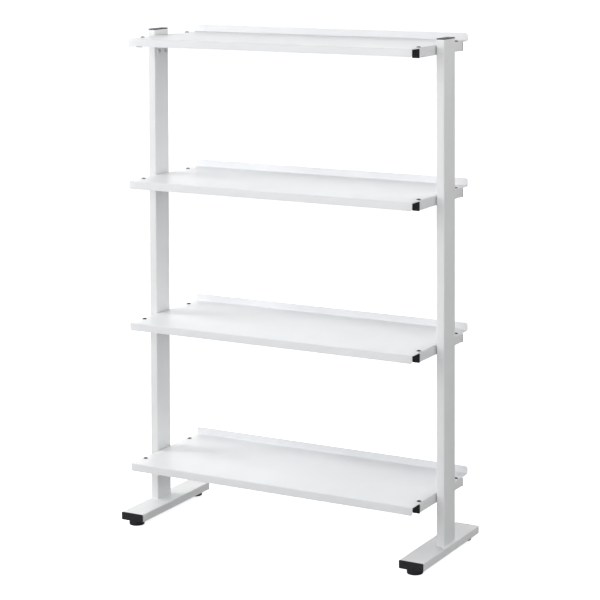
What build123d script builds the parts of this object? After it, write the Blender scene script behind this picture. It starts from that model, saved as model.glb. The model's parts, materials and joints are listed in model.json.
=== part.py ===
"""Free-standing open shelf rack: two T-leg side frames, four folded sheet shelves
carried on front-to-back arms, and four screw-adjustable levelling feet.

Millimetres. +Z is up, the front faces -Y and the right side is +X. The origin is
on the floor, under the centre of the footprint. Handed pieces are modelled for
the right side and mirrored for the left.
"""
from build123d import *
import os

# ---------------------------------------------------------------- dimensions
OVERALL_W = 1200.0          # over the outer edges of the feet
OVERALL_H = 1782.0          # floor to the top of the upright caps
OVERALL_D = 460.0           # over the foot end caps

WALL = 1.6                  # wall of every steel tube
SHEET = 1.2                 # shelf sheet thickness
PLUG_GAP = 0.10             # clearance of a plug inside its tube, per side
RUN_CLEAR = 0.05            # clearance of a running or threaded pair
OVERLAP = 1.0               # cutters run past a face, and fused shanks into a head, by this

FOOT_W = 90.0               # foot tube, across the unit
FOOT_H = 28.0               # foot tube, vertical
FOOT_R = 3.0
FOOT_CAP_T = 3.0            # visible thickness of the foot end caps
FOOT_LEN = OVERALL_D - 2 * FOOT_CAP_T
FOOT_Z0 = 18.0              # floor to the underside of the foot tube at rest
FOOT_Z1 = FOOT_Z0 + FOOT_H
FOOT_XC = OVERALL_W / 2 - FOOT_W / 2

UP_X = 30.0                 # upright tube, across the unit
UP_Y = 90.0                 # upright tube, front to back
UP_R = 4.0
UP_CAP_T = 4.0              # visible thickness of the upright caps
UP_INSET = 7.0              # upright outer face to the foot's outer edge
UP_IN = OVERALL_W / 2 - UP_INSET - UP_X     # upright inner face
UP_XC = UP_IN + UP_X / 2
UP_Z0 = FOOT_Z1
UP_Z1 = OVERALL_H - UP_CAP_T
NUT_PLATE_T = 8.0

BRACKET_T = 3.0             # mounting plate between arm and upright
BRACKET_Y = 64.0
BRACKET_TOP_GAP = 1.0       # top of the arm to the top of the plate
BRACKET_DROP = 44.0         # how far the plate reaches below the arm
BRACKET_R = 8.0             # lower corners

ARM_X = 25.0                # arm tube, across the unit
ARM_Z = 30.0                # arm tube, vertical
ARM_R = 2.5
ARM_LEN = 350.0             # arm tube without its two end caps
ARM_SHIFT = 3.5             # arms' middle, to the rear of the uprights' centre line
ARM_CAP_T = 1.5             # visible thickness of the arms' end caps
ARM_CAP_OVER = 1.2          # the cap's rim stands proud of the tube's sides and underside
ARM_OUT = UP_IN - BRACKET_T
ARM_XC = ARM_OUT - ARM_X / 2

SHELF_COUNT = 4
TOP_SHELF_Z = 1758.5        # top face of shelf 1, the highest
SHELF_PITCH = 510.0
SHELF_HALF_X = 559.0
SHELF_HALF_Y = 227.0        # to the outer faces of the front flange and rear lip
FLANGE_DOWN = 28.0          # front flange, measured from the shelf's top face
LIP_UP = 25.0               # rear lip, measured from the shelf's top face
BEND_IN = 1.5               # inside bend radius of the sheet
FLANGE_CORNER_R = 8.0
LIP_CORNER_R = 9.0
HEM_H = 3.6                 # height of the folded hem along each side edge
HEM_W = 30.0                # width of the hem's return under the sheet
HEM_INSET = 9.0             # the hem stops this far short of the flange and of the lip

# M8 bolts of the brackets and of the foot joints
M8_R = 4.0
M8_HOLE_R = 4.5
BOLT_HALF = 20.0            # half of the front-to-back bolt spacing
BOLT_DROP = 25.0            # bracket bolt line below the underside of the arm
BOLT_Z = -ARM_Z - BOLT_DROP     # the same line, from the top face of the arm
BUTTON_H = 4.4
BUTTON_R = 7.0
BUTTON_REACH = 13.0         # shank below the head
BUTTON_SOCKET_AF = 5.0      # AF: across flats
BUTTON_SOCKET_DEPTH = 2.4
M8_NUT_AF = 13.0
M8_NUT_H = 6.5
SOCKET_HEAD_R = 6.5
SOCKET_HEAD_H = 8.0
SOCKET_REACH = 14.0
SOCKET_AF = 6.0
SOCKET_DEPTH = 4.0
ACCESS_HOLE_R = 8.0         # in the foot's underside, below each foot bolt

# M6 shelf screws
M6_R = 3.0
M6_HOLE_R = 3.3
SCREW_X = ARM_XC            # either side of the centre
SCREW_Y = 150.0             # in front of and behind the centre
SCREW_REACH = 14.0
SCREW_HEAD_R = 8.0
SCREW_HEAD_H = 3.2
SCREW_RIM_H = 0.9
CROSS_LEN = 6.8             # cross recess in the head
CROSS_W = 1.3
CROSS_DEPTH = 1.7
M6_NUT_AF = 10.0
M6_NUT_H = 5.0

# levelling feet
LEVELLER_Y = 198.0          # in front of and behind the centre
LEVELLER_HOLE_R = 5.5
PAD_R = 27.5
PAD_H = 16.0
PAD_EDGE_R = 0.9
STUD_R = 5.0
STUD_TOP = 42.0
STUD_CHAMFER = 1.0
STUD_FLANGE_R = 10.0
STUD_FLANGE_H = 4.0
STUD_FLANGE_Z = 5.0
SLOT_W = 1.6                # screwdriver slot
SLOT_DEPTH = 2.0
LEVELLER_NUT_AF = 17.0
LEVELLER_NUT_H = 8.0

SHELF_TOPS = [TOP_SHELF_Z - i * SHELF_PITCH for i in range(SHELF_COUNT)]
SIDES = (("left", -1), ("right", 1))
ENDS = (("front", -1), ("rear", 1))
BOLT_YS = (-BOLT_HALF, BOLT_HALF)
SCREW_YS = (-SCREW_Y, SCREW_Y)


# ---------------------------------------------------------------- helpers
def save(name, shape):
    """Write one node; a list becomes a group of separate solids."""
    if isinstance(shape, list):
        solids = [solid for item in shape for solid in item.solids()]
        shape = Compound(children=[Solid(solid.wrapped) for solid in solids])
    export_step(shape, os.path.join("parts", name + ".step"))


def handed(sign, shape):
    """Right-hand shape for sign = +1, its mirror image for sign = -1."""
    return shape if sign > 0 else mirror(shape, about=Plane.YZ)


def tube_z(x, y, r, length):
    outer = extrude(RectangleRounded(x, y, r), length)
    inner = extrude(RectangleRounded(x - 2 * WALL, y - 2 * WALL, r - WALL), length)
    return outer - inner


def tube_y(x, z, r, length):
    """Tube along Y, centred on the origin."""
    return Pos(0, length / 2, 0) * (Rot(90, 0, 0) * tube_z(x, z, r, length))


def cyl_z(radius, z0, z1):
    return Pos(0, 0, z0) * extrude(Circle(radius), z1 - z0)


def cyl_x(radius, x0, x1):
    return Pos(x0, 0, 0) * (Rot(0, 90, 0) * extrude(Circle(radius), x1 - x0))


def hex_z(across_flats, z0, z1):
    hexagon = RegularPolygon(across_flats / 2, 6, major_radius=False)
    return Pos(0, 0, z0) * extrude(hexagon, z1 - z0)


def hole_z(radius, z0, z1):
    """Cutter that passes right through the material between z0 and z1."""
    return cyl_z(radius, z0 - OVERLAP, z1 + OVERLAP)


def hole_x(radius, x0, x1):
    return cyl_x(radius, x0 - OVERLAP, x1 + OVERLAP)


def hex_nut(across_flats, thread_r, height):
    """Nut standing on z = 0."""
    return hex_z(across_flats, 0, height) - hole_z(thread_r + RUN_CLEAR, 0, height)


def plug_cap(x, y, r, depth, edge, cap_t, plug_wall=2.0, over=0.0):
    """End plug: a flange cap_t thick over a hollow plug pointing down to -Z.
    The tube's end face is the plane z = 0. The flange stands over past the tube on
    three sides and stays flush on the +Y side."""
    floor_t, min_r = 1.5, 0.6
    flange = Pos(0, -over / 2, 0) * extrude(RectangleRounded(x + 2 * over, y + over, r), cap_t)
    flange = fillet(flange.edges().group_by(Axis.Z)[-1], edge)
    plug_x = x - 2 * WALL - 2 * PLUG_GAP
    plug_y = y - 2 * WALL - 2 * PLUG_GAP
    plug_r = max(r - WALL - PLUG_GAP, min_r)
    plug = Pos(0, 0, -depth) * extrude(RectangleRounded(plug_x, plug_y, plug_r), depth)
    hollow = Pos(0, 0, -depth) * extrude(
        RectangleRounded(plug_x - 2 * plug_wall, plug_y - 2 * plug_wall, min_r),
        depth - floor_t)
    return flange + (plug - hollow)


# ---------------------------------------------------------------- side frames
def upright():
    tube = Pos(UP_XC, 0, UP_Z0) * tube_z(UP_X, UP_Y, UP_R, UP_Z1 - UP_Z0)
    return tube - [Pos(0, y, top - HEM_H + BOLT_Z) * hole_x(M8_HOLE_R, UP_IN, UP_IN + WALL)
                   for top in SHELF_TOPS for y in BOLT_YS]


def upright_cap():
    cap = plug_cap(UP_X, UP_Y, UP_R, depth=14.0, edge=0.9, cap_t=UP_CAP_T)
    return Pos(UP_XC, 0, UP_Z1) * cap


def nut_plate():
    """Threaded plate inside the foot end of the upright."""
    inset = 2 * WALL + 2 * PLUG_GAP
    outline = RectangleRounded(UP_X - inset, UP_Y - inset, UP_R - WALL)
    plate = Pos(UP_XC, 0, UP_Z0) * extrude(outline, NUT_PLATE_T)
    for y in BOLT_YS:
        plate = plate - Pos(UP_XC, y, UP_Z0) * hole_z(M8_R + RUN_CLEAR, 0, NUT_PLATE_T)
    return plate


def foot():
    tube = Pos(FOOT_XC, 0, (FOOT_Z0 + FOOT_Z1) / 2) * tube_y(FOOT_W, FOOT_H, FOOT_R, FOOT_LEN)
    cuts = [Pos(FOOT_XC, y, 0) * hole_z(LEVELLER_HOLE_R, FOOT_Z0, FOOT_Z0 + WALL)
            for y in (-LEVELLER_Y, LEVELLER_Y)]
    for y in BOLT_YS:
        cuts.append(Pos(UP_XC, y, 0) * hole_z(M8_HOLE_R, FOOT_Z1 - WALL, FOOT_Z1))
        cuts.append(Pos(UP_XC, y, 0) * hole_z(ACCESS_HOLE_R, FOOT_Z0, FOOT_Z0 + WALL))
    return tube - cuts


def foot_cap():
    """Cap of the foot's front end, its flange facing -Y."""
    cap = plug_cap(FOOT_W, FOOT_H, FOOT_R, depth=13.0, edge=1.2, cap_t=FOOT_CAP_T)
    return Pos(FOOT_XC, -FOOT_LEN / 2, (FOOT_Z0 + FOOT_Z1) / 2) * (Rot(90, 0, 0) * cap)


def foot_bolt():
    """Socket-head bolt pointing up, bearing face at z = 0."""
    bolt = cyl_z(SOCKET_HEAD_R, -SOCKET_HEAD_H, 0) + cyl_z(M8_R, -OVERLAP, SOCKET_REACH)
    return bolt - hex_z(SOCKET_AF, -SOCKET_HEAD_H - OVERLAP, -SOCKET_HEAD_H + SOCKET_DEPTH)


# ---------------------------------------------------------------- levelling feet
def leveller_pad():
    """Disc with a rounded rim and a captive recess for the stud's flange."""
    # (radius, height) around the half section
    outline = [
        (0, 0), (PAD_R - 1.4, 0), (PAD_R, 1.4), (PAD_R, 10.5),
        (PAD_R - 1.4, 12.2), (PAD_R - 2.0, PAD_H), (0, PAD_H), (0, 0),
    ]
    with BuildSketch(Plane.XZ) as section:
        with BuildLine():
            Polyline(*outline)
        make_face()
        rim = [v for v in section.vertices() if v.X > PAD_R - 3.0 and v.Y > 0.5]
        fillet(rim, PAD_EDGE_R)
    pad = revolve(section.sketch, Axis.Z)
    recess_top = STUD_FLANGE_Z + STUD_FLANGE_H + RUN_CLEAR
    pad = pad - cyl_z(STUD_FLANGE_R + RUN_CLEAR, STUD_FLANGE_Z, recess_top)
    return pad - cyl_z(STUD_R + RUN_CLEAR, STUD_FLANGE_Z + OVERLAP, PAD_H + OVERLAP)


def leveller_stud():
    flange = cyl_z(STUD_FLANGE_R, STUD_FLANGE_Z, STUD_FLANGE_Z + STUD_FLANGE_H)
    shank = cyl_z(STUD_R, STUD_FLANGE_Z + OVERLAP, STUD_TOP)
    shank = chamfer(shank.edges().group_by(Axis.Z)[-1], STUD_CHAMFER)
    slot = Pos(0, 0, STUD_TOP) * Box(SLOT_W, 2 * (STUD_R + OVERLAP), 2 * SLOT_DEPTH)
    return flange + shank - slot


# ---------------------------------------------------------------- shelves
def folded_sheet():
    """Sheet with its top face at z = 0, front flange down and rear lip up."""
    bend_out = BEND_IN + SHEET
    front, rear = -SHELF_HALF_Y, SHELF_HALF_Y
    front_in, rear_in = front + SHEET, rear - SHEET
    # offset of a quarter arc's midpoint from the corner it rounds
    mid_out = bend_out * (1 - 2 ** -0.5)
    mid_in = BEND_IN * (1 - 2 ** -0.5)
    with BuildSketch(Plane.YZ) as section:
        with BuildLine():
            # over the front bend, along the top and up the lip
            ThreePointArc((front, -bend_out), (front + mid_out, -mid_out), (front + bend_out, 0))
            Line((front + bend_out, 0), (rear_in - BEND_IN, 0))
            ThreePointArc((rear_in - BEND_IN, 0), (rear_in - mid_in, mid_in), (rear_in, BEND_IN))
            Polyline((rear_in, BEND_IN), (rear_in, LIP_UP), (rear, LIP_UP), (rear, BEND_IN))
            # outside of the rear bend, back along the underside and round the flange
            ThreePointArc((rear, BEND_IN), (rear - mid_out, -SHEET + mid_out),
                          (rear - bend_out, -SHEET))
            Line((rear - bend_out, -SHEET), (front + bend_out, -SHEET))
            ThreePointArc((front + bend_out, -SHEET), (front_in + mid_in, -SHEET - mid_in),
                          (front_in, -bend_out))
            Polyline((front_in, -bend_out), (front_in, -FLANGE_DOWN),
                     (front, -FLANGE_DOWN), (front, -bend_out))
        make_face()
    return extrude(section.sketch, SHELF_HALF_X, both=True)


def front_outline():
    """Block with the shelf's front view, rounded at the flange and lip corners."""
    with BuildSketch(Plane.XZ) as outline:
        with BuildLine():
            Polyline((-SHELF_HALF_X, -FLANGE_DOWN), (SHELF_HALF_X, -FLANGE_DOWN),
                     (SHELF_HALF_X, LIP_UP), (-SHELF_HALF_X, LIP_UP),
                     (-SHELF_HALF_X, -FLANGE_DOWN))
        make_face()
        fillet([v for v in outline.vertices() if v.Y < 0], FLANGE_CORNER_R)
        fillet([v for v in outline.vertices() if v.Y > LIP_UP - 0.1], LIP_CORNER_R)
    return extrude(outline.sketch, 300, both=True)


def side_hem(half_len):
    """Right-hand side edge, folded under and back."""
    r = HEM_H / 2
    edge = SHELF_HALF_X
    inner_x, return_top = edge - HEM_W, -HEM_H + SHEET
    with BuildSketch(Plane.XZ) as section:
        with BuildLine():
            Line((edge - r, 0), (edge - r, -SHEET))
            ThreePointArc((edge - r, -SHEET), (edge - SHEET, -r), (edge - r, return_top))
            Polyline((edge - r, return_top), (inner_x, return_top),
                     (inner_x, -HEM_H), (edge - r, -HEM_H))
            ThreePointArc((edge - r, -HEM_H), (edge, -r), (edge - r, 0))
        make_face()
    return Pos(0, half_len, 0) * extrude(section.sketch, 2 * half_len)


def shelf_panel():
    body = folded_sheet() & front_outline()
    half_len = SHELF_HALF_Y - HEM_INSET
    r = HEM_H / 2
    hem = side_hem(half_len)
    # clears the flat edge of the sheet where the hem's bend takes its place
    trim = Pos(SHELF_HALF_X + (OVERLAP - r) / 2, 0, -SHEET / 2) * Box(
        r + OVERLAP, 2 * half_len, SHEET + OVERLAP)
    for _, sign in SIDES:
        body = body - handed(sign, trim)
        body = body + handed(sign, hem)
    return body - [Pos(x, y, 0) * hole_z(M6_HOLE_R, -HEM_H, 0)
                   for x in (-SCREW_X, SCREW_X) for y in SCREW_YS]


# Arm, cap and bracket have the arm's top face at z = 0.
def arm():
    tube = Pos(ARM_XC, ARM_SHIFT, -ARM_Z / 2) * tube_y(ARM_X, ARM_Z, ARM_R, ARM_LEN)
    return tube - [Pos(SCREW_X, y, 0) * hole_z(M6_HOLE_R, -WALL, 0) for y in SCREW_YS]


def arm_caps():
    """Front and rear caps of one arm."""
    cap = Rot(90, 0, 0) * plug_cap(ARM_X, ARM_Z, ARM_R, depth=12.0, edge=0.5,
                                   cap_t=ARM_CAP_T, plug_wall=1.8, over=ARM_CAP_OVER)
    front = Pos(ARM_XC, ARM_SHIFT - ARM_LEN / 2, -ARM_Z / 2) * cap
    rear = Pos(0, 2 * ARM_SHIFT, 0) * mirror(front, about=Plane.XZ)
    return front, rear


def bracket():
    z0, z1 = -ARM_Z - BRACKET_DROP, -BRACKET_TOP_GAP
    plate = Pos(UP_IN - BRACKET_T / 2, 0, (z0 + z1) / 2) * Box(BRACKET_T, BRACKET_Y, z1 - z0)
    plate = fillet(plate.edges().filter_by(Axis.X).group_by(Axis.Z)[0], BRACKET_R)
    return plate - [Pos(0, y, BOLT_Z) * hole_x(M8_HOLE_R, ARM_OUT, UP_IN) for y in BOLT_YS]


def button_bolt():
    """M8 button head along +X with its bearing face at x = 0."""
    rim_x, crown_r = -1.0, 3.2
    with BuildSketch(Plane.XZ) as section:
        with BuildLine():
            Polyline((-BUTTON_H, 0), (0, 0), (0, BUTTON_R), (rim_x, BUTTON_R))
            ThreePointArc((rim_x, BUTTON_R), (-3.5, 5.2), (-BUTTON_H, crown_r))
            Line((-BUTTON_H, crown_r), (-BUTTON_H, 0))
        make_face()
    bolt = revolve(section.sketch, Axis.X) + cyl_x(M8_R, -OVERLAP, BUTTON_REACH)
    socket = hex_z(BUTTON_SOCKET_AF, -BUTTON_H - OVERLAP, -BUTTON_H + BUTTON_SOCKET_DEPTH)
    return bolt - Rot(0, 90, 0) * socket


def truss_screw():
    """M6 truss-head screw pointing down, bearing face at z = 0."""
    top, rim = (0, SCREW_HEAD_H), (SCREW_HEAD_R, SCREW_RIM_H)
    with BuildSketch(Plane.XZ) as section:
        with BuildLine():
            Polyline(top, (0, 0), (SCREW_HEAD_R, 0), rim)
            ThreePointArc(rim, (SCREW_HEAD_R * 0.6, 2.55), top)
        make_face()
    screw = revolve(section.sketch, Axis.Z) + cyl_z(M6_R, -SCREW_REACH, OVERLAP)
    cross = Pos(0, 0, SCREW_HEAD_H) * (Box(CROSS_LEN, CROSS_W, 2 * CROSS_DEPTH)
                                       + Box(CROSS_W, CROSS_LEN, 2 * CROSS_DEPTH))
    return screw - cross


# ---------------------------------------------------------------- assembly
def save_frames():
    bolts = []
    for name, sign in SIDES:
        save(f"{name}_upright", handed(sign, upright()))
        save(f"{name}_upright_cap", handed(sign, upright_cap()))
        save(f"{name}_upright_nut_plate", handed(sign, nut_plate()))
        save(f"{name}_foot", handed(sign, foot()))
        for end, end_sign in ENDS:
            cap = foot_cap()
            if end_sign > 0:
                cap = mirror(cap, about=Plane.XZ)
            save(f"{name}_foot_{end}_cap", handed(sign, cap))
        bolts += [handed(sign, Pos(UP_XC, y, FOOT_Z1 - WALL) * foot_bolt()) for y in BOLT_YS]
    save("foot_bolts", bolts)


def save_levellers():
    nuts = []
    for name, sign in SIDES:
        for end, end_sign in ENDS:
            place = Pos(sign * FOOT_XC, end_sign * LEVELLER_Y, 0)
            save(f"{end}_{name}_leveller_pad", place * leveller_pad())
            save(f"{end}_{name}_leveller_stud", place * leveller_stud())
            nut = hex_nut(LEVELLER_NUT_AF, STUD_R, LEVELLER_NUT_H)
            nuts.append(place * (Pos(0, 0, FOOT_Z0 + WALL) * nut))
    save("leveller_nuts", nuts)


def save_shelves():
    panel, arm_tube, cap_pair, plate = shelf_panel(), arm(), arm_caps(), bracket()
    screw = truss_screw()
    bolt = Pos(ARM_OUT, 0, 0) * button_bolt()
    arm_nut = Pos(0, 0, -WALL - M6_NUT_H) * hex_nut(M6_NUT_AF, M6_R, M6_NUT_H)
    weld_nut = Rot(0, 90, 0) * hex_nut(M8_NUT_AF, M8_R, M8_NUT_H)
    weld_nut = Pos(UP_IN + WALL, 0, 0) * weld_nut

    weld_nuts = []
    for n, top in enumerate(SHELF_TOPS, start=1):
        arm_top = top - HEM_H
        at_arm = Pos(0, 0, arm_top)
        save(f"shelf_{n}_panel", Pos(0, 0, top) * panel)
        screws, arm_nuts, caps, bolts = [], [], [], []
        for name, sign in SIDES:
            save(f"shelf_{n}_{name}_arm", at_arm * handed(sign, arm_tube))
            save(f"shelf_{n}_{name}_bracket", at_arm * handed(sign, plate))
            caps += [at_arm * handed(sign, cap) for cap in cap_pair]
            for y in SCREW_YS:
                screws.append(Pos(sign * SCREW_X, y, top) * screw)
                arm_nuts.append(Pos(sign * SCREW_X, y, arm_top) * arm_nut)
            for y in BOLT_YS:
                at_bolt = Pos(0, y, arm_top + BOLT_Z)
                bolts.append(at_bolt * handed(sign, bolt))
                weld_nuts.append(at_bolt * handed(sign, weld_nut))
        save(f"shelf_{n}_arm_caps", caps)
        save(f"shelf_{n}_screws", screws)
        save(f"shelf_{n}_arm_nuts", arm_nuts)
        save(f"shelf_{n}_bracket_bolts", bolts)
    save("upright_weld_nuts", weld_nuts)


os.makedirs("parts", exist_ok=True)
save_frames()
save_levellers()
save_shelves()
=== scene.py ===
"""Rack of four folded sheet-metal shelves carried on arms from a left and a right upright.

Metres, +Z up, standing on z = 0. Width runs along X (left is -X), the front faces -Y.
The CAD pieces get their materials; the shelf panels are rebuilt with folds and hems, and
weld beads are added at the upright feet and the brackets.
"""
import bpy, bmesh, math, json
from mathutils import Vector, Matrix


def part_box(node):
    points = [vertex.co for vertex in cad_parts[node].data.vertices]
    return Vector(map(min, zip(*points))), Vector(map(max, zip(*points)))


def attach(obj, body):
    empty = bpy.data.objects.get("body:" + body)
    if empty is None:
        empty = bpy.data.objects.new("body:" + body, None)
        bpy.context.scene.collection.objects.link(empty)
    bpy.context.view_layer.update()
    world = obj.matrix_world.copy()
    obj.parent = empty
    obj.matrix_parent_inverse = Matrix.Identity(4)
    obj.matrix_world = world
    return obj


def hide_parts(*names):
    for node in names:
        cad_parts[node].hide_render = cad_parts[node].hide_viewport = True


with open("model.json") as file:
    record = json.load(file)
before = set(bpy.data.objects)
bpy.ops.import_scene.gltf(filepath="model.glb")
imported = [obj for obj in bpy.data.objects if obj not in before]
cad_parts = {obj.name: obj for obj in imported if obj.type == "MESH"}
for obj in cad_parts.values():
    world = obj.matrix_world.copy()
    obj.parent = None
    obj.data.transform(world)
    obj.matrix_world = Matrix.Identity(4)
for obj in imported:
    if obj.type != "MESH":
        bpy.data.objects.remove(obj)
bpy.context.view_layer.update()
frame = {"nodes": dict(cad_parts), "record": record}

MM = 0.001
scene = bpy.context.scene

SHELVES = (1, 2, 3, 4)
SIDES = (("left", -1), ("right", 1))      # name, sign of x


# ------------------------------------------------------------------ shader graphs
class Graph:
    """Node tree of a material or world, emptied and ready to build."""

    def __init__(self, owner):
        owner.use_nodes = True
        self.tree = owner.node_tree
        self.tree.nodes.clear()

    def feed(self, node, inputs):
        """Link each socket value to its input, and set each plain value."""
        for key, value in inputs.items():
            if isinstance(value, bpy.types.NodeSocket):
                self.tree.links.new(value, node.inputs[key])
            else:
                node.inputs[key].default_value = value

    def node(self, kind, inputs=None, **settings):
        node = self.tree.nodes.new(kind)
        for setting, value in settings.items():
            setattr(node, setting, value)
        self.feed(node, inputs or {})
        return node

    def math(self, operation, first, second):
        node = self.node("ShaderNodeMath", {0: first, 1: second}, operation=operation)
        return node.outputs[0]

    def remap(self, value, span, to):
        """Clamped map of the range span onto the range to."""
        return self.node("ShaderNodeMapRange", {
            "From Min": span[0], "From Max": span[1],
            "To Min": to[0], "To Max": to[1], "Value": value}).outputs["Result"]

    def mix(self, factor, base, other):
        """Colour mix; inputs 6 and 7 and output 2 are the node's colour sockets."""
        colours = [(*c, 1.0) if isinstance(c, tuple) else c for c in (base, other)]
        return self.node("ShaderNodeMix", {"Factor": factor, 6: colours[0], 7: colours[1]},
                         data_type="RGBA").outputs[2]


class Surface(Graph):
    """Principled material textured in object space."""

    def __init__(self, name):
        self.material = bpy.data.materials.new(name)
        super().__init__(self.material)
        self.coords = self.node("ShaderNodeTexCoord").outputs["Object"]
        output = self.node("ShaderNodeOutputMaterial")
        self.principled = self.node("ShaderNodeBsdfPrincipled")
        self.feed(output, {0: self.principled.outputs[0]})

    def noise(self, scale, detail, roughness, distortion=0.0, coords=None):
        return self.node("ShaderNodeTexNoise", {
            "Scale": scale, "Detail": detail, "Roughness": roughness,
            "Distortion": distortion, "Vector": coords or self.coords}).outputs["Fac"]

    def noise_map(self, scale, detail, roughness, span, to=(0.0, 1.0)):
        return self.remap(self.noise(scale, detail, roughness), span, to)

    def cells(self, scale):
        return self.node("ShaderNodeTexVoronoi", {
            "Scale": scale, "Vector": self.coords}).outputs["Distance"]

    def bump(self, height, strength, distance, normal=None):
        inputs = {"Strength": strength, "Distance": distance, "Height": height}
        if normal is not None:
            inputs["Normal"] = normal
        return self.node("ShaderNodeBump", inputs).outputs["Normal"]

    def rounded_normal(self, radius, samples):
        return self.node("ShaderNodeBevel", {"Radius": radius},
                         samples=samples).outputs["Normal"]

    def edge_wear(self, radius, span, breakup):
        """1 near an edge and 0 on the flats, from the bevelled normal, broken up by noise."""
        rounded = self.rounded_normal(radius, samples=4)
        true_normal = self.node("ShaderNodeNewGeometry").outputs["Normal"]
        dot = self.node("ShaderNodeVectorMath", {0: rounded, 1: true_normal},
                        operation="DOT_PRODUCT")
        edge = self.remap(dot.outputs["Value"], span, to=(1.0, 0.0))
        return self.math("MULTIPLY", edge, self.noise_map(**breakup))

    def wear_to(self, wear, amount, base, colour):
        return self.mix(self.math("MULTIPLY", wear, amount), base, colour)

    def finish(self, inputs):
        self.feed(self.principled, inputs)
        return self.material


# ------------------------------------------------------------------ materials
def scaled(colour, *factors):
    return tuple(c * f for c, f in zip(colour, factors))


def powder_white(name, tint, edge_softness):
    s = Surface(name)
    # cloudy film thickness, then fine grain
    base = s.mix(s.noise_map(scale=5.5, detail=4.0, roughness=0.55, span=(0.35, 0.7)),
                 tint, scaled(tint, 0.975, 0.98, 0.985))
    grain = s.noise_map(scale=900.0, detail=2.0, roughness=0.6, span=(0.55, 0.8),
                        to=(0.0, 0.35))
    base = s.mix(grain, base, scaled(tint, 0.93, 0.93, 0.93))
    # sparse dust specks in the film
    speck = s.remap(s.cells(scale=38.0), span=(0.012, 0.03), to=(0.45, 0.0))
    base = s.mix(speck, base, (0.52, 0.52, 0.50))
    # thin film and rub on the edges
    rub = s.edge_wear(radius=1.6 * MM, span=(0.90, 0.995), breakup=dict(
        scale=60.0, detail=5.0, roughness=0.7, span=(0.45, 0.75)))
    base = s.wear_to(rub, amount=0.30, base=base, colour=(0.66, 0.67, 0.68))
    gloss = s.noise_map(scale=14.0, detail=5.0, roughness=0.6, span=(0.3, 0.75),
                        to=(0.36, 0.48))
    roughness = s.math("ADD", gloss, s.math("MULTIPLY", rub, 0.12))
    # orange peel, then a fine powder texture, on a slightly softened edge
    peel = s.bump(s.noise(scale=420.0, detail=2.0, roughness=0.45, distortion=0.3),
                  strength=0.22, distance=0.0006,
                  normal=s.rounded_normal(edge_softness, samples=6))
    powder = s.bump(s.noise(scale=1700.0, detail=2.0, roughness=0.5),
                    strength=0.14, distance=0.0002, normal=peel)
    return s.finish({"Base Color": base, "Roughness": roughness, "IOR": 1.5,
                     "Coat Weight": 0.12, "Coat Roughness": 0.28,
                     "Normal": powder, "Coat Normal": peel})


def black_nylon(name):
    s = Surface(name)
    tint = (0.012, 0.012, 0.0135)
    base = s.mix(s.noise_map(scale=80.0, detail=4.0, roughness=0.6, span=(0.35, 0.7)),
                 tint, scaled(tint, 1.7, 1.7, 1.7))
    worn = s.edge_wear(radius=1.2 * MM, span=(0.90, 0.995), breakup=dict(
        scale=300.0, detail=4.0, roughness=0.7, span=(0.4, 0.7), to=(0.2, 1.0)))
    base = s.wear_to(worn, amount=0.55, base=base, colour=(0.11, 0.11, 0.115))
    roughness = s.noise_map(scale=220.0, detail=4.0, roughness=0.6, span=(0.3, 0.75),
                            to=(0.42, 0.60))
    # spark-eroded mould texture
    pits = s.bump(s.cells(scale=1500.0), strength=0.35, distance=0.0003)
    fine = s.bump(s.noise(scale=2600.0, detail=2.0, roughness=0.6),
                  strength=0.2, distance=0.0002, normal=pits)
    return s.finish({"Base Color": base, "Roughness": roughness,
                     "Specular IOR Level": 0.32, "Normal": fine})


def black_steel(name):
    s = Surface(name)
    base = s.mix(s.noise_map(scale=260.0, detail=5.0, roughness=0.65, span=(0.35, 0.7)),
                 (0.020, 0.020, 0.022), (0.045, 0.043, 0.042))
    worn = s.edge_wear(radius=0.6 * MM, span=(0.88, 0.99), breakup=dict(
        scale=900.0, detail=4.0, roughness=0.7, span=(0.45, 0.7), to=(0.1, 1.0)))
    base = s.wear_to(worn, amount=0.6, base=base, colour=(0.30, 0.30, 0.31))
    roughness = s.noise_map(scale=700.0, detail=4.0, roughness=0.6, span=(0.3, 0.75),
                            to=(0.30, 0.46))
    grain = s.bump(s.noise(scale=2400.0, detail=3.0, roughness=0.6),
                   strength=0.25, distance=0.0002)
    return s.finish({"Base Color": base, "Metallic": 0.55, "Roughness": roughness,
                     "Normal": grain})


def zinc_steel(name):
    s = Surface(name)
    base = s.mix(s.noise_map(scale=120.0, detail=5.0, roughness=0.6, span=(0.3, 0.72)),
                 (0.66, 0.68, 0.71), (0.60, 0.585, 0.53))
    roughness = s.noise_map(scale=500.0, detail=4.0, roughness=0.6, span=(0.3, 0.75),
                            to=(0.26, 0.42))
    # turned marks around the vertical axis
    squeezed = s.node("ShaderNodeMapping", {"Scale": (1.0, 1.0, 40.0), "Vector": s.coords})
    turned = s.bump(s.noise(scale=120.0, detail=3.0, roughness=0.6,
                            coords=squeezed.outputs[0]), strength=0.2, distance=0.0002)
    return s.finish({"Base Color": base, "Metallic": 1.0, "Roughness": roughness,
                     "Normal": turned})


WHITE = powder_white("white_powder_coat", tint=(0.850, 0.856, 0.856),
                     edge_softness=0.0006)
# same powder coat as the frame, but its tint is bluer: painted cool light, the bluish cast of
# the light on the upward-facing shelf tops
PANEL_WHITE_PAINTED_COOL_CAST = powder_white("white_powder_coat_painted_cool_cast", tint=(0.850, 0.857, 0.872),
                           edge_softness=0.0004)
SLOT_MATERIALS = {
    "powder_coat_white": WHITE,
    "black_plastic": black_nylon("black_nylon"),
    "black_steel": black_steel("black_coated_steel"),
    "zinc_steel": zinc_steel("zinc_plated_steel"),
}


def dress_cad_pieces():
    slot_of = {part["node"]: part["material_slot"] for part in frame["record"]["subparts"]}
    for node, ob in frame["nodes"].items():
        material = SLOT_MATERIALS[slot_of[node]]
        if len(ob.material_slots) == 0:
            ob.data.materials.append(material)
        else:
            for slot in ob.material_slots:
                slot.material = material


dress_cad_pieces()


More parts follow.
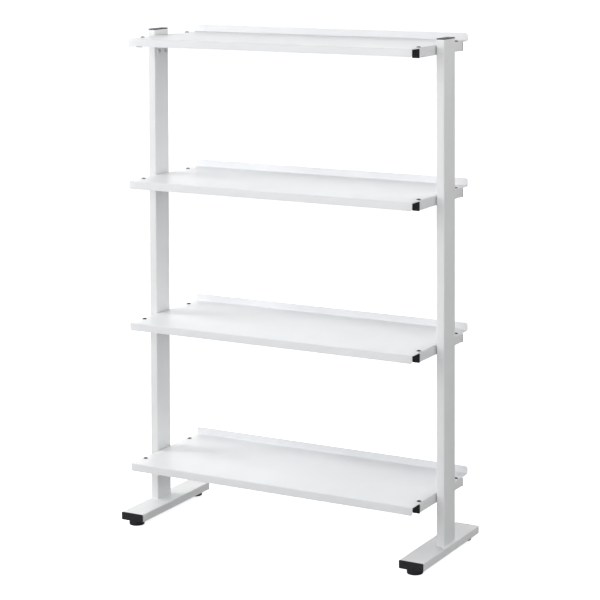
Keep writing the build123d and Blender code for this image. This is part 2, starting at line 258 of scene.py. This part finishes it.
# ------------------------------------------------------------------ mesh helpers
def face_outward(mesh):
    bm = bmesh.new()
    bm.from_mesh(mesh)
    bmesh.ops.recalc_face_normals(bm, faces=bm.faces)
    bm.to_mesh(mesh)
    bm.free()


def triangulate_caps(mesh):
    """Split the many-sided end faces into triangles."""
    bm = bmesh.new()
    bm.from_mesh(mesh)
    caps = [face for face in bm.faces if len(face.verts) > 10]
    bmesh.ops.triangulate(bm, faces=caps, quad_method="BEAUTY", ngon_method="EAR_CLIP")
    bm.to_mesh(mesh)
    bm.free()


def add_mesh(name, verts, faces, material):
    """Smooth-shaded object with its faces turned outward."""
    mesh = bpy.data.meshes.new(name)
    mesh.from_pydata(verts, [], faces)
    mesh.validate()
    face_outward(mesh)
    mesh.materials.append(material)
    ob = bpy.data.objects.new(name, mesh)
    scene.collection.objects.link(ob)
    for face in mesh.polygons:
        face.use_smooth = True
    return ob


def attach_white(ob):
    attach(ob, "frame")


def arc(centre_u, centre_v, radius, start, end, steps):
    """Points of an arc between two angles in degrees, both ends included."""
    points = []
    for i in range(steps + 1):
        angle = math.radians(start + (end - start) * i / steps)
        points.append((centre_u + radius * math.cos(angle),
                       centre_v + radius * math.sin(angle)))
    return points


def add_ring(verts, points):
    """Append a closed ring of vertices and return its indices."""
    start = len(verts)
    verts.extend(points)
    return range(start, len(verts))


def band(ring, following):
    """Quads between two rings of equal count."""
    count = len(ring)
    return [(ring[j], ring[(j + 1) % count], following[(j + 1) % count], following[j])
            for j in range(count)]


# ------------------------------------------------------------------ shelf panels
SHEET = 1.2 * MM                # sheet thickness
BEND_IN = 1.5 * MM              # inside radius of the front and rear bends
BEND_OUT = BEND_IN + SHEET
FREE_EDGE_R = 0.5 * MM          # rounding of the flange and lip edges
CUT_EDGE_R = 0.35 * MM          # rounding of the cut ends
FLANGE_CORNER_R = 8.0 * MM      # lower corners of the front flange
LIP_CORNER_R = 9.0 * MM         # upper corners of the rear lip
FLAT_BAND = 1.3 * MM            # heights this close to the top face count as the flat

HEM_H = 3.6 * MM                # folded hem under each side edge
HEM_W = 30.0 * MM
HEM_INSET = 9.0 * MM            # from the panel's front and rear to the hem's ends
HEM_R = HEM_H / 2               # outside radius of the roll

NOTCH_HALF = 0.4 * MM           # paired stations each side of a hem end
FLAT_STEPS = 14
LONG_SIDE = 4 * MM              # profile sides taller than this are refined
LONG_SIDE_STEPS = 34
PANEL_STEPS = 26
PARTNER_GAP = 12                # least distance in profile points to a facing partner


def sheet_profile(front, rear, flange, lip):
    """Closed (y, z) outline of the folded sheet, top face at z = 0, anticlockwise."""
    hem_front, hem_rear = front + HEM_INSET, rear - HEM_INSET
    stations = [hem_front - NOTCH_HALF, hem_front + NOTCH_HALF]
    stations += [hem_front + (hem_rear - hem_front) * i / FLAT_STEPS
                 for i in range(1, FLAT_STEPS)]
    stations += [hem_rear - NOTCH_HALF, hem_rear + NOTCH_HALF]
    edge = FREE_EDGE_R
    # around the flange's lower edge, then the inside of the front bend
    points = arc(front + edge, -flange + edge, edge, 180, 270, 4)
    points += arc(front + SHEET - edge, -flange + edge, edge, 270, 360, 4)
    points += arc(front + SHEET + BEND_IN, -SHEET - BEND_IN, BEND_IN, 180, 90, 6)
    points += [(y, -SHEET) for y in stations]
    # outside of the rear bend, then over the lip's upper edge and down its front
    points += arc(rear - BEND_OUT, BEND_OUT - SHEET, BEND_OUT, 270, 360, 7)
    points += arc(rear - edge, lip - edge, edge, 0, 90, 4)
    points += arc(rear - SHEET + edge, lip - edge, edge, 90, 180, 4)
    points += arc(rear - SHEET - BEND_IN, BEND_IN, BEND_IN, 360, 270, 6)
    # top face back to the outside of the front bend
    points += [(y, 0.0) for y in reversed(stations)]
    points += arc(front + BEND_OUT, -BEND_OUT, BEND_OUT, 90, 180, 7)
    return points


def refine_long_sides(profile):
    """Divide the flange and lip sides, densest at their ends, so the corners come out round."""
    fine = []
    for here, there in zip(profile, profile[1:] + profile[:1]):
        fine.append(here)
        if abs(there[1] - here[1]) > LONG_SIDE:
            for step in range(1, LONG_SIDE_STEPS):
                u = 0.5 - 0.5 * math.cos(math.pi * (step / LONG_SIDE_STEPS))
                fine.append((here[0] + (there[0] - here[0]) * u,
                             here[1] + (there[1] - here[1]) * u))
    return fine


def facing_partner(profile, j):
    """Nearest profile point across the sheet's thickness from point j."""
    y, z = profile[j]
    count = len(profile)
    across = [m for m in range(count) if PARTNER_GAP <= abs(m - j) <= count - PARTNER_GAP]
    return profile[min(across, key=lambda m: (profile[m][0] - y) ** 2
                       + (profile[m][1] - z) ** 2)]


def make_panel(name, node, z_top):
    low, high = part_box(node)
    half_width, front, rear = high.x, low.y, high.y
    flange, lip = z_top - low.z, high.z - z_top
    profile = refine_long_sides(sheet_profile(front, rear, flange, lip))

    def reach(y, z):
        """Half width at a profile point: the flat stops where the side hem starts to roll,
        and the flange and lip have rounded corners."""
        if abs(z) < FLAT_BAND and front + HEM_INSET < y < rear - HEM_INSET:
            return half_width - HEM_R + CUT_EDGE_R
        if z < -flange + FLANGE_CORNER_R:
            radius, depth = FLANGE_CORNER_R, -flange + FLANGE_CORNER_R - z
        elif z > lip - LIP_CORNER_R:
            radius, depth = LIP_CORNER_R, z - (lip - LIP_CORNER_R)
        else:
            return half_width
        return half_width - radius + math.sqrt(max(radius * radius - depth * depth, 0.0))

    def bow(x, y):
        """Very small unevenness of thin sheet between its bends."""
        u, v = x / half_width, (y - (front + rear) / 2) / ((rear - front) / 2)
        fade = max(0.0, 1 - u ** 4) * max(0.0, 1 - v ** 4)
        return fade * (0.10 * math.sin(5.1 * u + 1.3) * math.cos(2.3 * v + 0.4) - 0.14) * MM

    verts, faces, rings = [], [], []
    for i in range(PANEL_STEPS + 1):
        u = -1 + 2 * i / PANEL_STEPS
        points = []
        for y, z in profile:
            x = (reach(y, z) - CUT_EDGE_R) * u
            lift = bow(x, y) if abs(z) <= FLAT_BAND else 0.0
            points.append((x, y, z_top + z + lift))
        rings.append(add_ring(verts, points))
    for ring, following in zip(rings, rings[1:]):
        faces += band(ring, following)

    # cut ends: two rings rolling in towards mid-thickness, then a cap
    partners = [facing_partner(profile, j) for j in range(len(profile))]
    for end, ring in ((-1, rings[0]), (1, rings[-1])):
        for turn in (0.5, 1.0):
            angle = turn * math.pi / 2
            points = []
            for (y, z), (partner_y, partner_z) in zip(profile, partners):
                dy, dz = partner_y - y, partner_z - z
                gap = math.hypot(dy, dz) or 1.0
                shrink = min(CUT_EDGE_R * (1 - math.cos(angle)), gap * 0.45)
                x = reach(y, z) - CUT_EDGE_R + CUT_EDGE_R * math.sin(angle)
                points.append((end * x, y + dy / gap * shrink,
                               z_top + z + dz / gap * shrink))
            following = add_ring(verts, points)
            faces += band(ring, following)
            ring = following
        faces.append(tuple(ring))
    ob = add_mesh(name, verts, faces, PANEL_WHITE_PAINTED_COOL_CAST)
    triangulate_caps(ob.data)
    return ob


def make_hem(name, node, z_top, side_sign):
    """The side edge rolled under and back: a U-shaped strip along the panel's side."""
    low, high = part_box(node)
    free_x = -(HEM_W - HEM_R)
    # (x, z) outline, x outward from the roll's centre
    profile = arc(0.0, -HEM_R, HEM_R, 90, -90, 12)
    profile.append((free_x * 0.5, -HEM_H))
    profile += arc(free_x + SHEET / 2, -HEM_H + SHEET / 2, SHEET / 2, 270, 90, 4)
    profile.append((free_x * 0.5, -HEM_H + SHEET))
    profile += arc(0.0, -HEM_R, HEM_R - SHEET, 270, 450, 8)

    y0, y1 = low.y + HEM_INSET, high.y - HEM_INSET
    edge, steps = CUT_EDGE_R, 24
    # y, share of the inset that rounds the cut ends
    stations = [(y0, 1.0), (y0 + edge * 0.3, 0.35), (y0 + edge, 0.0)]
    stations += [(y0 + edge + (y1 - y0 - 2 * edge) * i / steps, 0.0)
                 for i in range(1, steps)]
    stations += [(y1 - edge, 0.0), (y1 - edge * 0.3, 0.35), (y1, 1.0)]

    verts, faces, rings = [], [], []
    for y, inset in stations:
        depth = edge * 0.8 * inset
        points = []
        for j, (x, z) in enumerate(profile):
            before_x, before_z = profile[j - 1]
            after_x, after_z = profile[(j + 1) % len(profile)]
            along_x, along_z = after_x - before_x, after_z - before_z
            length = math.hypot(along_x, along_z) or 1.0
            normal_x, normal_z = along_z / length, -along_x / length
            points.append((side_sign * (high.x - HEM_R + x + normal_x * depth), y,
                           z_top + z + normal_z * depth))
        rings.append(add_ring(verts, points))
    for ring, following in zip(rings, rings[1:]):
        faces += band(ring, following)
    faces += [tuple(rings[0]), tuple(rings[-1])]
    ob = add_mesh(name, verts, faces, PANEL_WHITE_PAINTED_COOL_CAST)
    triangulate_caps(ob.data)
    face_outward(ob.data)
    return ob


for k in SHELVES:
    cad_panel = f"shelf_{k}_panel"
    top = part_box(f"shelf_{k}_left_arm")[1].z + HEM_H      # the hems rest on the arms
    panel = make_panel(f"shelf_{k}_sheet", cad_panel, top)
    attach_white(panel)
    for side, sign in SIDES:
        attach_white(make_hem(f"shelf_{k}_{side}_hem", cad_panel, top, sign))
    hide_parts(cad_panel)

# ------------------------------------------------------------------ weld beads
BEAD_POINTS = 7                 # points across the bead's face
BEAD_SINK = 0.4 * MM            # how far its root sits inside both faces
BEAD_CROWN = 1.35               # exponent: nearly flat face with a light crown
RIPPLE_PITCH = 1.9 * MM
SWELL_LENGTH = 11 * MM
FOOT_WELD = 2.6 * MM
FOOT_SEEDS = {"left": 0.7, "right": 2.1}
UPRIGHT_CORNER_R = 4 * MM
BRACKET_WELD = 2.4 * MM
BRACKET_WELD_MARGIN = 3 * MM    # clear of the bracket's front and rear
BRACKET_WELD_POINTS = 66
BRACKET_WELD_RISE = 0.6 * MM    # root above the arm's underside


def bead(name, path, side_normals, flat_normal, size, closed, seed):
    """Fillet weld along path, filling the corner between a face with the given normal at
    each point and a flat face. Its size ripples like overlapping puddles."""
    verts, faces = [], []
    travelled = 0.0
    flat_normal = Vector(flat_normal)
    for i, point in enumerate(path):
        if i:
            travelled += (Vector(point) - Vector(path[i - 1])).length
        side_normal = Vector(side_normals[i])
        ripple = (1.0 + 0.10 * math.sin(travelled / RIPPLE_PITCH * math.pi + seed)
                  + 0.06 * math.sin(travelled / SWELL_LENGTH + seed * 2))
        leg = size * ripple + BEAD_SINK
        root = Vector(point) - side_normal * BEAD_SINK - flat_normal * BEAD_SINK
        verts.append(tuple(root))
        for s in range(BEAD_POINTS):
            angle = s / (BEAD_POINTS - 1) * math.pi / 2
            verts.append(tuple(root + (side_normal * (math.cos(angle) ** BEAD_CROWN) * leg
                                       + flat_normal * (math.sin(angle) ** BEAD_CROWN) * leg)))
    count, ring = len(path), BEAD_POINTS + 1
    for i in range(count if closed else count - 1):
        j = (i + 1) % count
        for s in range(ring):
            t = (s + 1) % ring
            faces.append((i * ring + s, j * ring + s, j * ring + t, i * ring + t))
    if not closed:
        faces.append(tuple(range(ring)))
        faces.append(tuple((count - 1) * ring + s for s in range(ring)))
    return add_mesh(name, verts, faces, WHITE)


def rounded_rect_path(cx, cy, half_x, half_y, radius, step=0.9 * MM):
    """Points around a rounded rectangle, with their outward normals."""
    points, normals = [], []
    corners = [(cx + half_x - radius, cy + half_y - radius),
               (cx - half_x + radius, cy + half_y - radius),
               (cx - half_x + radius, cy - half_y + radius),
               (cx + half_x - radius, cy - half_y + radius)]
    for c, (corner_x, corner_y) in enumerate(corners):
        for i in range(7):
            angle = math.radians(90 * c + 90 * i / 6)
            normal = (math.cos(angle), math.sin(angle))
            points.append((corner_x + radius * normal[0], corner_y + radius * normal[1]))
            normals.append(normal)
        # straight run to the next corner
        next_x, next_y = corners[(c + 1) % 4]
        angle = math.radians(90 * c + 90)
        normal = (math.cos(angle), math.sin(angle))
        x0, y0 = corner_x + radius * normal[0], corner_y + radius * normal[1]
        x1, y1 = next_x + radius * normal[0], next_y + radius * normal[1]
        steps = max(2, int(math.hypot(x1 - x0, y1 - y0) / step))
        for i in range(1, steps):
            points.append((x0 + (x1 - x0) * i / steps, y0 + (y1 - y0) * i / steps))
            normals.append(normal)
    return points, normals


def weld_upright_foot(side):
    low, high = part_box(f"{side}_upright")
    points, normals = rounded_rect_path(
        (low.x + high.x) / 2, (low.y + high.y) / 2,
        (high.x - low.x) / 2, (high.y - low.y) / 2, UPRIGHT_CORNER_R)
    attach_white(bead(f"{side}_upright_base_weld", [(x, y, low.z) for x, y in points],
                      [(x, y, 0) for x, y in normals], (0, 0, 1),
                      FOOT_WELD, closed=True, seed=FOOT_SEEDS[side]))


def weld_bracket(k, side, sign):
    """Straight bead along the bracket's inner face, at the arm's underside."""
    low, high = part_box(f"shelf_{k}_{side}_bracket")
    inner_x = low.x if sign > 0 else high.x
    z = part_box(f"shelf_{k}_{side}_arm")[0].z + BRACKET_WELD_RISE
    run = high.y - low.y - 2 * BRACKET_WELD_MARGIN
    path = [(inner_x, low.y + BRACKET_WELD_MARGIN + run * i / (BRACKET_WELD_POINTS - 1), z)
            for i in range(BRACKET_WELD_POINTS)]
    attach_white(bead(f"shelf_{k}_{side}_bracket_weld", path,
                      [(-sign, 0, 0)] * len(path), (0, 0, -1),
                      BRACKET_WELD, closed=False, seed=k + sign))


for side, _ in SIDES:
    weld_upright_foot(side)
for k in SHELVES:
    for side, sign in SIDES:
        weld_bracket(k, side, sign)

# ------------------------------------------------------------------ floor
FLOOR_RADIUS = 120.0
FLOOR_GLOW = 0.80               # added emission, seen by the camera only
FLOOR_BOUNCE = 0.42             # grey that all other rays meet


def floor_material():
    s = Graph(bpy.data.materials.new("pale_studio_floor"))
    coords = s.node("ShaderNodeTexCoord").outputs["Object"]
    cloud = s.node("ShaderNodeTexNoise", {
        "Scale": 1.2, "Detail": 4.0, "Roughness": 0.6, "Distortion": 0.0,
        "Vector": coords}).outputs["Fac"]
    colour = s.mix(s.remap(cloud, span=(0.3, 0.7), to=(0.0, 1.0)),
                   (0.90, 0.90, 0.90), (0.87, 0.87, 0.875))
    pale = s.node("ShaderNodeBsdfDiffuse", {"Color": colour})
    glow = s.node("ShaderNodeEmission", {"Color": (1, 1, 1, 1), "Strength": FLOOR_GLOW})
    seen = s.node("ShaderNodeAddShader", {0: pale.outputs[0], 1: glow.outputs[0]})
    grey = s.node("ShaderNodeBsdfDiffuse", {"Color": (*[FLOOR_BOUNCE] * 3, 1)})
    rays = s.node("ShaderNodeLightPath")
    mixed = s.node("ShaderNodeMixShader", {
        0: rays.outputs["Is Camera Ray"], 1: grey.outputs[0], 2: seen.outputs[0]})
    s.node("ShaderNodeOutputMaterial", {0: mixed.outputs[0]})
    return bpy.data.materials["pale_studio_floor"]


bpy.ops.mesh.primitive_circle_add(vertices=96, radius=FLOOR_RADIUS, fill_type="NGON",
                                  location=(0, 0, 0))
floor = bpy.context.object
floor.name = "studio_floor"
floor.data.materials.append(floor_material())

# ------------------------------------------------------------------ world
WORLD_EVEN = 0.0                # light from every direction
# strength of the light from each part of the sky
WORLD_LOBES = {"left": 0.092, "right": 0.0, "front": 0.0, "back": 1.224,
               "zenith": 0.0, "horizon": 1.349}
HORIZON_FALLOFF = 3.0
LIGHT_TINT = (0.996, 0.998, 1.0, 1)
BACKDROP = 1.05                 # white strength seen by the camera


def build_world():
    world = bpy.data.worlds.new("studio")
    scene.world = world
    s = Graph(world)
    coords = s.node("ShaderNodeTexCoord").outputs["Generated"]
    axes = s.node("ShaderNodeSeparateXYZ", {0: coords}).outputs

    def toward(axis):
        return s.math("MAXIMUM", axes[axis], 0.0)

    def away(axis):
        return s.math("MAXIMUM", s.math("MULTIPLY", axes[axis], -1.0), 0.0)

    lobes = {"left": away("X"), "right": toward("X"), "front": away("Y"),
             "back": toward("Y"), "zenith": toward("Z")}
    lobes["horizon"] = s.math("POWER", s.math("SUBTRACT", 1.0, lobes["zenith"]),
                              HORIZON_FALLOFF)
    total = s.math("ADD", 0.0, WORLD_EVEN)
    for key, lobe in lobes.items():
        total = s.math("ADD", total, s.math("MULTIPLY", lobe, WORLD_LOBES[key]))
    lighting = s.node("ShaderNodeBackground", {"Color": LIGHT_TINT, "Strength": total})
    seen = s.node("ShaderNodeBackground", {"Color": (1, 1, 1, 1), "Strength": BACKDROP})
    rays = s.node("ShaderNodeLightPath")
    mixed = s.node("ShaderNodeMixShader", {
        0: rays.outputs["Is Camera Ray"], 1: lighting.outputs[0], 2: seen.outputs[0]})
    s.node("ShaderNodeOutputWorld", {0: mixed.outputs[0]})


build_world()

# ------------------------------------------------------------------ lights
# name: location, point aimed at, (width, height), watts
SOFTBOXES = {
    "key_softbox": ((-2.4, -3.2, 3.3), (-0.1, 0.0, 1.0), (2.6, 2.0), 33.0),
    "right_softbox": ((3.2, -1.6, 2.7), (0.3, 0.0, 1.3), (1.8, 1.8), 11.8),
    "front_softbox": ((0.3, -4.6, 2.2), (0.0, 0.0, 1.0), (3.0, 2.0), 71.6),
    "left_softbox": ((-3.6, -0.6, 2.4), (-0.3, 0.0, 1.0), (1.8, 1.8), 84.3),
    "right_high_softbox": ((2.1, -0.5, 3.6), (0.58, 0.0, 0.6), (1.4, 1.4), 8.3),
}


for name, (location, aim, size, watts) in SOFTBOXES.items():
    light = bpy.data.lights.new(name, "AREA")
    light.shape = "RECTANGLE"
    light.size, light.size_y = size
    light.energy = watts
    ob = bpy.data.objects.new(name, light)
    scene.collection.objects.link(ob)
    ob.location = location
    ob.rotation_euler = (Vector(aim) - Vector(location)).to_track_quat("-Z", "Y").to_euler()

# ------------------------------------------------------------------ camera
CAM_AZIMUTH = math.radians(28.744)    # looking from the front right
CAM_PITCH = math.radians(2.597)       # downward
CAM_ROLL = math.radians(-0.2032)
CAM_DISTANCE = 6.97151                # back from the origin, level
CAM_SIDE = 0.01386                    # to the camera's right
CAM_HEIGHT = 2.25408
SENSOR_WIDTH = 36.0                   # lens and sensor in mm
LENS = 118.8768
SHIFT_Y = -0.519205                   # in sensor widths


def build_camera():
    ahead = Vector((-math.sin(CAM_AZIMUTH), math.cos(CAM_AZIMUTH), 0))
    right = Vector((math.cos(CAM_AZIMUTH), math.sin(CAM_AZIMUTH), 0))
    up = Vector((0, 0, 1))
    location = -CAM_DISTANCE * ahead + CAM_SIDE * right + CAM_HEIGHT * up
    view = ahead * math.cos(CAM_PITCH) - up * math.sin(CAM_PITCH)
    view_up = ahead * math.sin(CAM_PITCH) + up * math.cos(CAM_PITCH)
    rolled_right = right * math.cos(CAM_ROLL) + view_up * math.sin(CAM_ROLL)
    rolled_up = -right * math.sin(CAM_ROLL) + view_up * math.cos(CAM_ROLL)
    lens = bpy.data.cameras.new("photo_camera")
    camera = bpy.data.objects.new("photo_camera", lens)
    scene.collection.objects.link(camera)
    rotation = Matrix((rolled_right, rolled_up, -view)).transposed()
    camera.matrix_world = Matrix.Translation(location) @ rotation.to_4x4()
    lens.sensor_width = SENSOR_WIDTH
    lens.sensor_fit = "HORIZONTAL"
    lens.lens = LENS
    lens.shift_y = SHIFT_Y
    lens.clip_end = 500.0
    scene.camera = camera


build_camera()

scene.view_settings.view_transform = "Standard"
scene.view_settings.look = "None"
scene.view_settings.exposure = 0.0
scene.view_settings.gamma = 1.0

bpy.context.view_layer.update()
